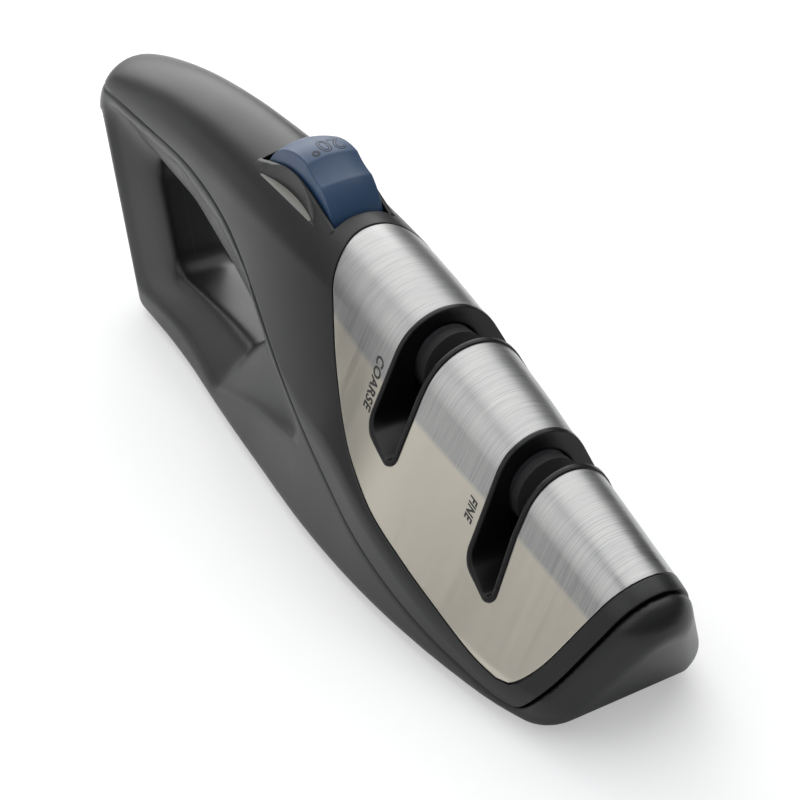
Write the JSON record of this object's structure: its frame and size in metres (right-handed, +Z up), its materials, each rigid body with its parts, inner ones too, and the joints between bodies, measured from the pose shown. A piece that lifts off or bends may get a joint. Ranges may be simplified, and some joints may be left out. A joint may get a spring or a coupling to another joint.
{
  "type": "manual knife sharpener",
  "caption": "Pull-through knife sharpener with a looped handle, steel-covered arched body, coarse and fine slots over abrasive wheels and a rocking angle selector.",
  "frame": {"origin": "centre of the bounding box at the bottom, on the plane the rubber feet rest on", "axes": "+X toward the nose, +Y toward the hidden flank, +Z up"},
  "size_m": [0.2251, 0.0528, 0.0775],
  "materials": {
    "housing_plastic": "fine matt texture, dark grey",
    "brushed_steel_sheet": "brushed across the housing",
    "liner_plastic": "smooth, near black",
    "button_plastic": "satin, muted blue",
    "plated_steel": "plain plating",
    "works_plastic": "smooth, mid grey",
    "coarse_abrasive": "gritty, dark grey",
    "fine_abrasive": "fine grit, light grey",
    "foot_rubber": "matt rubber"
  },
  "bodies": {
    "housing": {"lower_frame": "housing_plastic", "upper_shell": "housing_plastic", "steel_cover": "brushed_steel_sheet", "coarse_slot_liner": "liner_plastic", "fine_slot_liner": "liner_plastic", "button_pivot_pin": "plated_steel", "detent_spring": "plated_steel", "detent_spring_screw": "plated_steel", "carriage_guide": "works_plastic", "carriage_guide_screws": "plated_steel", "shell_screws": "plated_steel", "rubber_feet": "foot_rubber"},
    "selector": {"angle_button": "button_plastic"},
    "carriage": {"wheel_carriage": "works_plastic", "coarse_axle": "plated_steel", "fine_axle": "plated_steel"},
    "coarse_rear_wheel": {"coarse_rear_wheel": "coarse_abrasive"},
    "coarse_middle_wheel": {"coarse_middle_wheel": "coarse_abrasive"},
    "coarse_front_wheel": {"coarse_front_wheel": "coarse_abrasive"},
    "fine_rear_wheel": {"fine_rear_wheel": "fine_abrasive"},
    "fine_middle_wheel": {"fine_middle_wheel": "fine_abrasive"},
    "fine_front_wheel": {"fine_front_wheel": "fine_abrasive"}
  },
  "joints": [
    {"name": "button_swing", "type": "hinge", "parent": "housing", "child": "selector", "pos_m": [-0.0132, 0, 0.0609], "axis": [0, -1, 0], "range_deg": [0, 19]},
    {"name": "carriage_slide", "type": "slide", "parent": "housing", "child": "carriage", "axis": [1, 0, 0], "range_m": [0, 0.00401]},
    {"name": "coarse_rear_wheel_spin", "type": "hinge", "parent": "carriage", "child": "coarse_rear_wheel", "pos_m": [0.0406, 0, 0.0484], "axis": [1, 0, 0], "continuous": true},
    {"name": "coarse_middle_wheel_spin", "type": "hinge", "parent": "carriage", "child": "coarse_middle_wheel", "pos_m": [0.0406, 0, 0.0484], "axis": [1, 0, 0], "continuous": true},
    {"name": "coarse_front_wheel_spin", "type": "hinge", "parent": "carriage", "child": "coarse_front_wheel", "pos_m": [0.0406, 0, 0.0484], "axis": [1, 0, 0], "continuous": true},
    {"name": "fine_rear_wheel_spin", "type": "hinge", "parent": "carriage", "child": "fine_rear_wheel", "pos_m": [0.0741, 0, 0.0365], "axis": [1, 0, 0], "continuous": true},
    {"name": "fine_middle_wheel_spin", "type": "hinge", "parent": "carriage", "child": "fine_middle_wheel", "pos_m": [0.0741, 0, 0.0365], "axis": [1, 0, 0], "continuous": true},
    {"name": "fine_front_wheel_spin", "type": "hinge", "parent": "carriage", "child": "fine_front_wheel", "pos_m": [0.0741, 0, 0.0365], "axis": [1, 0, 0], "continuous": true}
  ],
  "couplings": [
    {"joint": "carriage_slide", "follows": "button_swing", "m_per_rad": 0.012045}
  ]
}
